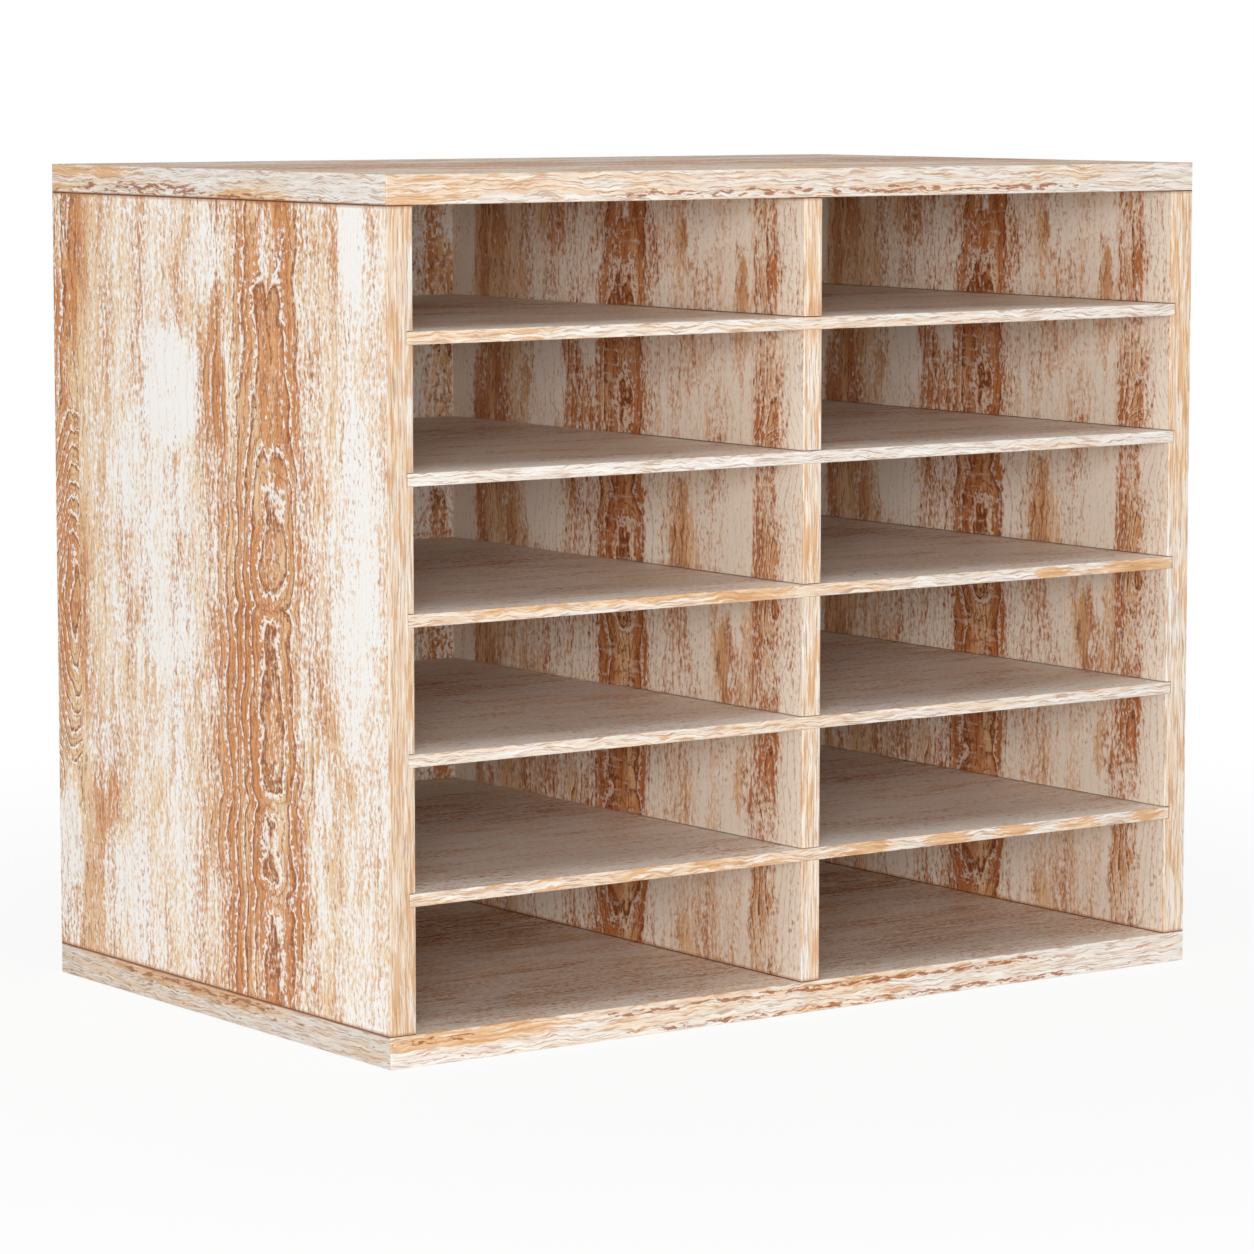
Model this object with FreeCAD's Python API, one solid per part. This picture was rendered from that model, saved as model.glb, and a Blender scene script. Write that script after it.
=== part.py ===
import FreeCAD, Part
import os

V = FreeCAD.Vector

# Overall size. The front of the sorter faces -Y and it stands on Z = 0.
width = 482.6
depth = 304.8
height = 406.4

# Board thicknesses
top_thickness = 13.8
base_thickness = 15.0
side_thickness = 13.8
divider_thickness = 10.8
shelf_thickness = 6.0
back_thickness = 3.0

# Printed tape glued on every edge that shows
tape_thickness = 0.8
tape_round = 0.5
board_arris = 0.4

# Loose shelves, in grooves in the sides and half-lapped with the divider
shelf_count = 5
shelf_lift = 1.2
groove_depth = 3.5
groove_play = 0.4
shelf_end_gap = 0.4
shelf_back_gap = 0.8
lap_gap = 1.0
lap_side_play = 0.4

# Back panel, pinned in a rabbet that the four outer boards share
back_seat = 6.0
back_edge_gap = 0.5

# Glued beech dowels between the uprights and the top and base
dowel_diameter = 6.0
dowel_in_end = 19.0
dowel_cover = 3.8
dowel_inset = 40.0
dowel_chamfer = 0.6
glue_pocket = 1.0

# Countersunk screws from below the base into the uprights
screw_length = 45.0
screw_diameter = 4.0
screw_hole_play = 0.5
screw_head_diameter = 8.0
screw_rim = 0.4
screw_sink = 0.3
screw_tip = 5.0
screw_inset = 85.0
recess_arm = 4.4
recess_width = 1.0
recess_depth = 1.8

# Pins that hold the back panel, their heads just inside the rear plane
pin_length = 16.0
pin_diameter = 1.2
pin_head_diameter = 3.2
pin_head_thickness = 0.6
pin_head_sink = 0.4
pin_tip = 1.5
pins_per_column = 2
pin_corner_inset = 30.0

# Planes that the pieces share
front = -depth / 2
back = depth / 2
tape_back = front + tape_thickness
half_width = width / 2
half_inside = half_width - side_thickness
half_divider = divider_thickness / 2
floor_z = base_thickness
ceiling_z = height - top_thickness
panel_rear = back - pin_head_thickness - pin_head_sink
panel_face = panel_rear - back_thickness
lap_y = (front + panel_face) / 2
edge_round = min(tape_round, 0.7 * tape_thickness)

# Heights of the shelves' undersides, evenly spaced and lifted as one stack
bay_height = (ceiling_z - floor_z - shelf_count * shelf_thickness) / (shelf_count + 1)
shelf_pitch = bay_height + shelf_thickness
slot_height = shelf_thickness + groove_play
shelf_undersides = [floor_z + bay_height + shelf_lift + i * shelf_pitch for i in range(shelf_count)]
bay_middles = [floor_z + (bay_height + shelf_lift) / 2 + i * shelf_pitch for i in range(shelf_count + 1)]

# Places of the uprights and of what joins them to the top and base
upright_xs = (-half_width + side_thickness / 2, 0.0, half_width - side_thickness / 2)
dowel_in_face = min(top_thickness, base_thickness) - dowel_cover - glue_pocket
top_dowel_ys = (front + dowel_inset, 0.0, back - dowel_inset)
base_dowel_ys = (front + dowel_inset, back - dowel_inset)
screw_ys = (front + screw_inset, back - screw_inset)


def block(x_span, y_span, z_span):
    """A square-edged block between three pairs of coordinates."""
    corner = V(x_span[0], y_span[0], z_span[0])
    size = [span[1] - span[0] for span in (x_span, y_span, z_span)]
    return Part.makeBox(size[0], size[1], size[2], corner)


def edges_on(shape, axis, value):
    """The straight edges that lie in the plane where the given coordinate has this value."""
    found = []
    for edge in shape.Edges:
        if all(abs(getattr(vertex.Point, axis) - value) < 1e-6 for vertex in edge.Vertexes):
            found.append(edge)
    return found


def rounded(shape, radius, edges):
    return shape.makeFillet(radius, edges)


def front_tape(x_span, z_span):
    """Tape on a front edge, its four outer edges eased."""
    tape = block(x_span, (front, tape_back), z_span)
    return rounded(tape, edge_round, edges_on(tape, "y", front))


def end_tape(side, z_span):
    """Tape on the left (-1) or right (+1) end of the top or base, behind the front tape."""
    outer = side * half_width
    x_span = sorted((outer, outer - side * tape_thickness))
    tape = block(x_span, (tape_back, back), z_span)
    front_edges = edges_on(tape, "y", tape_back)
    hidden = [edge.hashCode() for edge in front_edges]
    eased = [edge for edge in edges_on(tape, "x", outer) if edge.hashCode() not in hidden]
    return rounded(tape, edge_round, eased)


def drilled(shape, x, y, z_span, diameter):
    """The shape with an upright round hole over the given heights."""
    length = z_span[1] - z_span[0]
    return shape.cut(Part.makeCylinder(diameter / 2, length, V(x, y, z_span[0])))


def turned(profile):
    """A solid turned about Z from (radius, height) corners that start and end on the axis."""
    points = [V(radius, 0, z) for radius, z in profile]
    outline = Part.makePolygon(points + points[:1])
    return Part.Face(outline).revolve(V(0, 0, 0), V(0, 0, 1), 360)


def dowel():
    """One dowel standing on Z = 0."""
    radius = dowel_diameter / 2
    length = dowel_in_end + dowel_in_face
    tip = radius - dowel_chamfer
    return turned([
        (0, 0),
        (tip, 0),
        (radius, dowel_chamfer),
        (radius, length - dowel_chamfer),
        (tip, length),
        (0, length),
    ])


def countersink_profile():
    """Head of the screw from its flat face at Z = 0 upwards, as (radius, height) corners."""
    head = screw_head_diameter / 2
    shank = screw_diameter / 2
    return [(0, 0), (head, 0), (head, screw_rim), (shank, screw_rim + head - shank)]


def screw():
    """One countersunk screw, head down on Z = 0, with a cross recess."""
    shank = screw_diameter / 2
    point = screw_diameter / 10
    body = turned(countersink_profile() + [
        (shank, screw_length - screw_tip),
        (point, screw_length),
        (0, screw_length),
    ])
    half_arm = recess_arm / 2
    half_slot = recess_width / 2
    arm_x = block((-half_arm, half_arm), (-half_slot, half_slot), (0, recess_depth))
    arm_y = block((-half_slot, half_slot), (-half_arm, half_arm), (0, recess_depth))
    return body.cut(arm_x.fuse(arm_y))


def screw_seat(x, y):
    """What a screw takes out of the base: countersink, then a clearance hole."""
    top_of_head = countersink_profile()[-1]
    seat = turned([
        (0, -screw_sink),
        (screw_head_diameter / 2, -screw_sink),
        (screw_head_diameter / 2, screw_rim),
        top_of_head,
        (0, top_of_head[1]),
    ])
    bore_radius = (screw_diameter + screw_hole_play) / 2
    bore = Part.makeCylinder(bore_radius, base_thickness, V(0, 0, screw_rim))
    cutter = seat.fuse(bore)
    cutter.translate(V(x, y, screw_sink))
    return cutter


def pin():
    """One panel pin lying along Y, its head's outer face at Y = 0 and its point at -Y."""
    radius = pin_diameter / 2
    body = turned([
        (0, 0),
        (pin_head_diameter / 2, 0),
        (pin_head_diameter / 2, pin_head_thickness),
        (radius, pin_head_thickness),
        (radius, pin_length - pin_tip),
        (0, pin_length),
    ])
    body.rotate(V(0, 0, 0), V(1, 0, 0), 90)
    return body


def pin_places():
    """(x, z) of every pin: round the back panel's margin and down the divider."""
    side_x = half_inside + back_seat / 2
    low_z = floor_z - back_seat / 2
    high_z = ceiling_z + back_seat / 2
    first_x = half_divider + pin_corner_inset
    last_x = half_inside - pin_corner_inset
    step = (last_x - first_x) / max(pins_per_column - 1, 1)
    row_xs = [first_x + i * step for i in range(pins_per_column)]
    pinned_bays = (bay_middles[0], bay_middles[len(bay_middles) // 2], bay_middles[-1])
    places = []
    for x in [-x for x in row_xs] + row_xs:
        places.append((x, low_z))
        places.append((x, high_z))
    for z in pinned_bays:
        for x in (-side_x, 0.0, side_x):
            places.append((x, z))
    return places


def pinned(shape):
    """The shape with the holes that the pins make in it."""
    for x, z in pin_places():
        hole = Part.makeCylinder(pin_diameter / 2, pin_length, V(x, panel_rear, z), V(0, -1, 0))
        if hole.BoundBox.intersect(shape.BoundBox):
            shape = shape.cut(hole)
    return shape


def back_rabbet(z_span):
    """The seat of the back panel over the given heights."""
    seat = half_inside + back_seat
    return block((-seat, seat), (panel_face, back), z_span)


def grooves(x_span, y_end):
    """The shelf openings cut from the front to y_end, one for each shelf."""
    cutters = []
    for z in shelf_undersides:
        cutters.append(block(x_span, (front, y_end), (z, z + slot_height)))
    return Part.makeCompound(cutters)


def cross_board(z_span, rabbet_span, hole_span, dowel_ys):
    """The core of the top or base, with its rabbet and its blind dowel holes."""
    half_core = half_width - tape_thickness
    core = block((-half_core, half_core), (tape_back, back), z_span)
    core = core.cut(back_rabbet(rabbet_span))
    for x in upright_xs:
        for y in dowel_ys:
            core = drilled(core, x, y, hole_span, dowel_diameter)
    return pinned(core)


def top_panel():
    hole_top = ceiling_z + dowel_in_face + glue_pocket
    return cross_board((ceiling_z, height), (ceiling_z, ceiling_z + back_seat), (ceiling_z, hole_top), top_dowel_ys)


def base_panel():
    hole_bottom = floor_z - dowel_in_face - glue_pocket
    core = cross_board((0, floor_z), (floor_z - back_seat, floor_z), (hole_bottom, floor_z), base_dowel_ys)
    for x in upright_xs:
        for y in screw_ys:
            core = core.cut(screw_seat(x, y))
    return core


def end_holes(upright, x):
    """The upright with dowel holes in both ends and pilot holes for the base screws."""
    reach = dowel_in_end + glue_pocket
    for y in top_dowel_ys:
        upright = drilled(upright, x, y, (ceiling_z - reach, ceiling_z), dowel_diameter)
    for y in base_dowel_ys:
        upright = drilled(upright, x, y, (floor_z, floor_z + reach), dowel_diameter)
    for y in screw_ys:
        upright = drilled(upright, x, y, (floor_z, screw_sink + screw_length), screw_diameter)
    return upright


def side_spans(side):
    """X span of a side panel and of its shelf grooves, for the left (-1) or right (+1) side."""
    outer = side * half_width
    inner = side * half_inside
    groove = inner + side * groove_depth
    return sorted((outer, inner)), sorted((inner, groove))


def side_panel(side):
    board_span, groove_span = side_spans(side)
    core = block(board_span, (tape_back, back), (floor_z, ceiling_z))
    outer_edges = edges_on(core, "x", side * half_width)
    front_edges = [edge.hashCode() for edge in edges_on(core, "y", tape_back)]
    eased = [edge for edge in outer_edges if edge.hashCode() not in front_edges]
    core = rounded(core, board_arris, eased)
    core = core.cut(back_rabbet((floor_z, ceiling_z)))
    core = core.cut(grooves(groove_span, panel_face))
    core = end_holes(core, side * (half_width - side_thickness / 2))
    return pinned(core)


def side_tape(side):
    board_span, groove_span = side_spans(side)
    tape = front_tape(board_span, (floor_z, ceiling_z))
    return tape.cut(grooves(groove_span, tape_back))


def center_divider():
    core = block((-half_divider, half_divider), (tape_back, panel_face), (floor_z, ceiling_z))
    core = core.cut(grooves((-half_divider, half_divider), lap_y + lap_gap))
    return pinned(end_holes(core, 0.0))


def divider_tape():
    tape = front_tape((-half_divider, half_divider), (floor_z, ceiling_z))
    return tape.cut(grooves((-half_divider, half_divider), tape_back))


def back_panel():
    margin = back_seat - back_edge_gap
    half_panel = half_inside + margin
    panel = block((-half_panel, half_panel), (panel_face, panel_rear), (floor_z - margin, ceiling_z + margin))
    return pinned(panel)


def shelf(z):
    """A shelf's core, notched from behind where the divider passes through it."""
    half_shelf = half_inside + groove_depth - shelf_end_gap
    half_notch = half_divider + lap_side_play
    rear = panel_face - shelf_back_gap
    z_span = (z, z + shelf_thickness)
    core = block((-half_shelf, half_shelf), (tape_back, rear), z_span)
    return core.cut(block((-half_notch, half_notch), (lap_y, rear), z_span))


def shelf_tape(z):
    half_shelf = half_inside + groove_depth - shelf_end_gap
    return front_tape((-half_shelf, half_shelf), (z, z + shelf_thickness))


def dowels(z, ys):
    """One dowel at each upright and depth, its lower end at z."""
    group = []
    for x in upright_xs:
        for y in ys:
            piece = dowel()
            piece.translate(V(x, y, z))
            group.append(piece)
    return Part.makeCompound(group)


def base_screws():
    group = []
    for x in upright_xs:
        for y in screw_ys:
            piece = screw()
            piece.translate(V(x, y, screw_sink))
            group.append(piece)
    return Part.makeCompound(group)


def back_pins():
    group = []
    for x, z in pin_places():
        piece = pin()
        piece.translate(V(x, panel_rear + pin_head_thickness, z))
        group.append(piece)
    return Part.makeCompound(group)


def sorter():
    """Every piece of the sorter by the name of its node."""
    top_span = (ceiling_z, height)
    base_span = (0, floor_z)
    pieces = {
        "top_panel": top_panel(),
        "base_panel": base_panel(),
        "left_side_panel": side_panel(-1),
        "right_side_panel": side_panel(1),
        "center_divider": center_divider(),
        "back_panel": back_panel(),
        "top_front_tape": front_tape((-half_width, half_width), top_span),
        "base_front_tape": front_tape((-half_width, half_width), base_span),
        "left_side_front_tape": side_tape(-1),
        "right_side_front_tape": side_tape(1),
        "divider_front_tape": divider_tape(),
        "top_dowels": dowels(ceiling_z - dowel_in_end, top_dowel_ys),
        "base_dowels": dowels(floor_z - dowel_in_face, base_dowel_ys),
        "base_screws": base_screws(),
        "back_pins": back_pins(),
    }
    for side, name in ((-1, "left"), (1, "right")):
        pieces["top_" + name + "_tape"] = end_tape(side, top_span)
        pieces["base_" + name + "_tape"] = end_tape(side, base_span)
    for number, z in enumerate(shelf_undersides, start=1):
        pieces["shelf_%d" % number] = shelf(z)
        pieces["shelf_%d_tape" % number] = shelf_tape(z)
    return pieces


os.makedirs("parts", exist_ok=True)
for node, shape in sorter().items():
    shape.exportStep("parts/" + node + ".step")
    print(node, len(shape.Solids), "solids", round(shape.Volume / 1000, 2), "cm3", shape.isValid())
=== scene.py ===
"""Looks of the mail sorter: whitewashed boards with taped edges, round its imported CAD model."""

import math

import bpy
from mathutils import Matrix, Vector


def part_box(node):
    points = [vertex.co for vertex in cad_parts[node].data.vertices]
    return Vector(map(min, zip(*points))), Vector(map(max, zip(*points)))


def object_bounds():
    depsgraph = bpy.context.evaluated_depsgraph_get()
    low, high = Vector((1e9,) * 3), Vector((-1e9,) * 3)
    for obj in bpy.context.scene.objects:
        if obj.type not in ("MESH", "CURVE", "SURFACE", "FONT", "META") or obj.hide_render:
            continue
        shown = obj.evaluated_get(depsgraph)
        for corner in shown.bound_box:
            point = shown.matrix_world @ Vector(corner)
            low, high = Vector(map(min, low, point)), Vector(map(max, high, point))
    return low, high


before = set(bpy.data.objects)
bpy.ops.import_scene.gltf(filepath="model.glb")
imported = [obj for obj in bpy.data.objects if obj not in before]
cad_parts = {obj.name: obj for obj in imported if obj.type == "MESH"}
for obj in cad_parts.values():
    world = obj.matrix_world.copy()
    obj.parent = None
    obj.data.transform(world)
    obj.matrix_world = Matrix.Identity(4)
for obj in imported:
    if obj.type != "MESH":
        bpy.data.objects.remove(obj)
cad_low, cad_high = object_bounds()

# Places that the prints are measured from, in metres

LEFT_END = cad_low.x
FRONT = cad_low.y
BOARDS_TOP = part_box("left_side_panel")[1].z
BOARDS_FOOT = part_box("left_side_panel")[0].z
BASE_THICKNESS = BOARDS_FOOT - cad_low.z

# Lengths of the print, in metres: one printed plank's width, and the lengths that the plans' places run over

PRINTED_PLANK = 0.24
DEPTH_LENGTH = 0.38
PLAN_LENGTH = 0.5

# The face's rim, in metres from its edge, where the print gives way to raw board

RIM_START = 0.0006
RIM_END = 0.0003


# Node helpers


def colour(red, green, blue):
    """A screen colour, 0 to 255, as the linear colour that a node takes."""
    parts = [c / 255 for c in (red, green, blue)]
    linear = [c / 12.92 if c <= 0.04045 else ((c + 0.055) / 1.055) ** 2.4 for c in parts]
    return (*linear, 1.0)


class Bench:
    """Adds nodes to one node tree and joins them. Most calls give back an output socket."""

    def __init__(self, tree):
        self.tree = tree
        self.count = 0

    def put(self, kind, **settings):
        node = self.tree.nodes.new(kind)
        node.location = (200 * (self.count % 12), -260 * (self.count // 12))
        self.count += 1
        for name, value in settings.items():
            setattr(node, name, value)
        return node

    def feed(self, socket, value):
        if isinstance(value, bpy.types.NodeSocket):
            self.tree.links.new(value, socket)
        else:
            socket.default_value = value

    def maths(self, operation, *values):
        node = self.put("ShaderNodeMath", operation=operation)
        for socket, value in zip(node.inputs, values):
            self.feed(socket, value)
        return node.outputs[0]

    def add(self, *values):
        total = values[0]
        for value in values[1:]:
            total = self.maths("ADD", total, value)
        return total

    def less(self, first, second):
        return self.maths("SUBTRACT", first, second)

    def times(self, *values):
        product = values[0]
        for value in values[1:]:
            product = self.maths("MULTIPLY", product, value)
        return product

    def size(self, value):
        return self.maths("ABSOLUTE", value)

    def fade(self, value, low, high):
        """0 before low, 1 past high and a smooth step between. High may be the smaller one."""
        node = self.put("ShaderNodeMapRange", interpolation_type="SMOOTHSTEP")
        self.feed(node.inputs["Value"], value)
        self.feed(node.inputs["From Min"], low)
        self.feed(node.inputs["From Max"], high)
        return node.outputs["Result"]

    def choose(self, mask, first, second):
        """The first number where the mask is 0 and the second where it is 1."""
        if not isinstance(first, bpy.types.NodeSocket) and first == second:
            return first
        node = self.put("ShaderNodeMix", data_type="FLOAT")
        self.feed(node.inputs[0], mask)
        self.feed(node.inputs[2], first)
        self.feed(node.inputs[3], second)
        return node.outputs[0]

    def mix(self, amount, first, second):
        node = self.put("ShaderNodeMix", data_type="RGBA")
        self.feed(node.inputs[0], amount)
        self.feed(node.inputs[6], first)
        self.feed(node.inputs[7], second)
        return node.outputs[2]

    def noise(self, across, along, seed, across_per_m, along_per_m, detail=2.0, rough=0.5):
        """Smooth noise stretched over a board: 0 on average and rarely beyond -0.4 and 0.4."""
        place = self.put("ShaderNodeCombineXYZ")
        self.feed(place.inputs[0], self.maths("MULTIPLY_ADD", across, across_per_m, self.times(seed, 13.7)))
        self.feed(place.inputs[1], self.maths("MULTIPLY_ADD", along, along_per_m, self.times(seed, 7.9)))
        node = self.put("ShaderNodeTexNoise", noise_dimensions="2D")
        self.feed(node.inputs["Vector"], place.outputs[0])
        node.inputs["Scale"].default_value = 1.0
        node.inputs["Detail"].default_value = detail
        node.inputs["Roughness"].default_value = rough
        return self.times(self.less(node.outputs["Fac"], 0.5), 1.6)

    def stops(self, value, length, pairs):
        """A number given at a few places along a length, straight between them."""
        top = max(level for place, level in pairs)
        node = self.put("ShaderNodeValToRGB")
        self.feed(node.inputs["Fac"], self.times(value, 1.0 / length))
        line = node.color_ramp
        while len(line.elements) < len(pairs):
            line.elements.new(1.0)
        for element, (place, level) in zip(line.elements, pairs):
            element.position = place / length
            element.color = (level / top, level / top, level / top, 1.0)
        return self.times(node.outputs["Color"], top)

    def use(self, group, **values):
        """Places a group. Its inputs are named in small letters, with _ for a space."""
        node = self.put("ShaderNodeGroup", node_tree=group)
        for name, value in values.items():
            self.feed(node.inputs[name.replace("_", " ").capitalize()], value)
        return node.outputs


def new_group(name, takes, gives_colours=(), gives_numbers=()):
    """A shader node group with named sockets: its tree, bench, input sockets and output sockets."""
    tree = bpy.data.node_groups.new(name, "ShaderNodeTree")
    for label, value in takes.items():
        socket = tree.interface.new_socket(label, in_out="INPUT", socket_type="NodeSocketFloat")
        socket.default_value = value
    for label in gives_colours:
        tree.interface.new_socket(label, in_out="OUTPUT", socket_type="NodeSocketColor")
    for label in gives_numbers:
        tree.interface.new_socket(label, in_out="OUTPUT", socket_type="NodeSocketFloat")
    bench = Bench(tree)
    given = bench.put("NodeGroupInput").outputs
    out = bench.put("NodeGroupOutput").inputs
    return tree, bench, given, out


# Wood figure: flat-sawn rings that nest into arches over the heart and run straight beside it


def wood_rings():
    """Depth counts the rings from the board's face down to the heart of the tree."""
    tree, b, given, out = new_group(
        "wood_rings",
        {"Across": 0.0, "Along": 0.0, "Seed": 0.0, "Depth": 1.5, "Spacing": 0.007, "Reach": 0.025},
        gives_numbers=("Groove", "Dark", "Hairline", "Nearness"),
    )
    across, along, seed = given["Across"], given["Along"], given["Seed"]
    curl = b.times(b.noise(across, along, b.add(seed, 2.7), 34.0, 20.0, 1.0), 0.009)
    kink = b.times(b.noise(across, along, b.add(seed, 5.1), 120.0, 75.0, 2.0, 0.6), 0.36)
    bead = b.times(b.noise(across, along, b.add(seed, 1.3), 420.0, 380.0, 1.0), 0.50)
    side = b.size(b.add(across, curl))
    crowded = b.times(side, b.add(side, 0.004))
    slack = b.maths("DIVIDE", crowded, b.times(b.add(side, 0.015), given["Spacing"]))
    rounded = b.maths("SQRT", b.add(b.times(slack, slack), 0.06))
    under = b.maths("DIVIDE", b.times(given["Depth"], given["Reach"]), b.add(side, given["Reach"]))
    count = b.add(rounded, under, kink)
    ring = b.maths("FRACT", count)
    near = b.fade(b.less(side, b.times(b.maths("MAXIMUM", across, 0.0), 0.38)), 0.058, 0.016)
    b.feed(out["Groove"], b.times(b.fade(b.add(ring, bead), 0.23, 0.09), b.fade(ring, 0.0, 0.05)))
    b.feed(out["Dark"], b.times(b.fade(b.add(ring, b.times(bead, 0.4)), 0.84, 0.93), b.fade(ring, 1.0, 0.96)))
    third = b.maths("PINGPONG", b.add(b.times(count, 3.0), b.times(bead, 0.5)), 0.5)
    b.feed(out["Hairline"], b.fade(third, 0.34, 0.48))
    b.feed(out["Nearness"], near)
    return tree


# Whitewashed print: bare wood under paint that is thick in patches, thin in streaks and worn off the heart


def whitewashed_print(rings):
    tree, b, given, out = new_group(
        "whitewashed_print",
        {
            "Across": 0.0,
            "Along": 0.0,
            "Seed": 0.0,
            "Heart": 0.1,
            "Depth": 1.5,
            "Side heart": 0.3,
            "Side depth": 1.5,
            "Joint": 0.04,
            "Wear": 0.5,
            "Patch": 0.0,
            "Age": 0.0,
            "Clouds": 0.8,
        },
        gives_colours=("Color",),
        gives_numbers=("Height", "Roughness"),
    )
    across, along = given["Across"], given["Along"]
    plank = b.maths("FLOOR", b.times(b.less(across, given["Joint"]), 1 / PRINTED_PLANK))
    beside = b.maths("MINIMUM", b.size(plank), 1.0)
    seed = b.add(given["Seed"], b.times(plank, 7.31))
    figure = b.use(
        rings,
        across=b.less(across, b.choose(beside, given["Heart"], given["Side heart"])),
        along=along,
        seed=seed,
        depth=b.choose(beside, given["Depth"], given["Side depth"]),
        spacing=b.choose(beside, 0.0070, 0.0030),
        reach=b.choose(beside, 0.025, 0.060),
    )
    groove, dark, hairline, near = (figure[name] for name in ("Groove", "Dark", "Hairline", "Nearness"))

    wavy = b.add(across, b.times(b.noise(across, along, b.add(seed, 0.6), 110.0, 70.0, 2.0, 0.62), 0.0046))
    fine = b.noise(wavy, along, b.add(seed, 1.7), 460.0, 30.0, 2.0, 0.65)
    broad = b.noise(wavy, along, b.add(seed, 4.2), 130.0, 7.0, 1.0, 0.5)
    beads = b.noise(across, along, b.add(seed, 7.5), 560.0, 290.0, 1.0, 0.65)
    cloud = b.noise(wavy, along, b.add(seed, 8.8), 28.0, 15.0, 4.0, 0.66)
    tint = b.noise(wavy, along, b.add(seed, 3.3), 60.0, 10.0, 1.0, 0.6)
    rays = b.noise(across, along, b.add(seed, 2.2), 55.0, 330.0, 1.0)
    specks = b.noise(across, along, b.add(seed, 6.6), 620.0, 300.0, 1.0)
    hairs = b.noise(wavy, along, b.add(seed, 11.4), 820.0, 64.0, 1.0, 0.65)

    # Painted shade: this setting turns the print's whites, tans and lines warmer and darker for faces in
    # shade, in place of warm bounced light; it also changes the paint pattern's fine texture and white ring
    # fill
    age = given["Age"]
    warm = b.fade(b.add(tint, b.times(near, 0.30), b.times(broad, 0.4)), -0.25, 0.45)
    light_tan = b.mix(age, colour(233, 201, 160), colour(222, 176, 130))
    deep_tan = b.mix(age, colour(208, 143, 87), colour(180, 104, 54))
    tan = b.mix(warm, light_tan, deep_tan)
    streaked = b.fade(b.add(fine, b.times(beads, 0.6), b.times(hairs, 0.8)), 0.00, 0.46)
    tan = b.mix(streaked, tan, b.mix(age, colour(174, 106, 58), colour(148, 78, 40)))
    hair_brown = b.mix(age, colour(150, 92, 58), colour(116, 62, 36))
    tan = b.mix(b.times(b.fade(hairs, 0.08, 0.30), 0.55), tan, hair_brown)
    ring_lines = b.times(dark, b.add(0.35, b.times(near, 0.65)))
    lines = b.add(ring_lines, b.times(hairline, b.add(0.16, b.times(near, 0.50))))
    bare = b.mix(b.maths("MINIMUM", lines, 1.0), tan, b.mix(age, colour(142, 82, 48), colour(120, 62, 34)))

    coarse = b.less(1.35, b.times(age, 0.35))
    cover = b.add(
        0.76,
        b.times(cloud, given["Clouds"]),
        b.times(b.add(b.times(fine, 0.90), b.times(beads, 0.85)), coarse),
        b.times(hairs, 0.30),
        b.times(broad, 0.40),
        b.times(given["Wear"], -1.05),
        given["Patch"],
    )
    cream = b.mix(b.fade(tint, -0.3, 0.3), colour(238, 223, 203), colour(230, 207, 186))
    cream = b.mix(age, cream, colour(228, 203, 181))
    washed = b.mix(b.times(b.fade(cover, -0.15, 0.42), 0.88), bare, cream)
    white = b.mix(age, colour(243, 240, 236), colour(232, 215, 195))
    painted = b.mix(b.fade(cover, 0.34, 0.70), washed, white)
    ladder = b.times(b.fade(b.add(rays, b.times(beads, 0.45)), 0.20, 0.38), near, b.less(1.0, beside))
    white_rings = b.times(groove, b.add(0.22, b.times(near, 0.66)))
    filled = b.maths("MAXIMUM", white_rings, b.times(ladder, b.add(0.10, b.times(age, 0.45))))
    painted = b.mix(b.times(filled, b.less(1.0, b.times(age, 0.4))), painted, white)
    over = b.times(dark, b.add(0.16, b.times(near, 0.30)))
    over_brown = b.mix(age, colour(190, 134, 98), colour(160, 104, 72))
    painted = b.mix(b.times(over, b.fade(cover, 0.20, 0.60)), painted, over_brown)
    mark = b.times(b.fade(b.add(specks, b.times(tint, 0.5)), 0.22, 0.46), b.fade(cover, 1.15, 0.55), 0.60)
    b.feed(out["Color"], b.mix(mark, painted, b.mix(age, colour(168, 116, 80), colour(172, 118, 86))))
    b.feed(out["Height"], beads)
    b.feed(out["Roughness"], b.add(0.52, b.times(beads, 0.12), b.times(fine, 0.06)))
    return tree


def paint_patch():
    """1 in the middle of a soft-edged oval and 0 outside it."""
    tree, b, given, out = new_group(
        "paint_patch",
        {
            "Across": 0.0,
            "Along": 0.0,
            "Centre across": 0.0,
            "Centre along": 0.0,
            "Half width": 0.02,
            "Half length": 0.05,
        },
        gives_numbers=("Patch",),
    )
    wide = b.maths("DIVIDE", b.less(given["Across"], given["Centre across"]), given["Half width"])
    long = b.maths("DIVIDE", b.less(given["Along"], given["Centre along"]), given["Half length"])
    b.feed(out["Patch"], b.fade(b.add(b.times(wide, wide), b.times(long, long)), 2.0, 0.2))
    return tree


# Edge tape: a narrow print of wavy veins along the edge, with ochre patches and rows of brown marks


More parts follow.
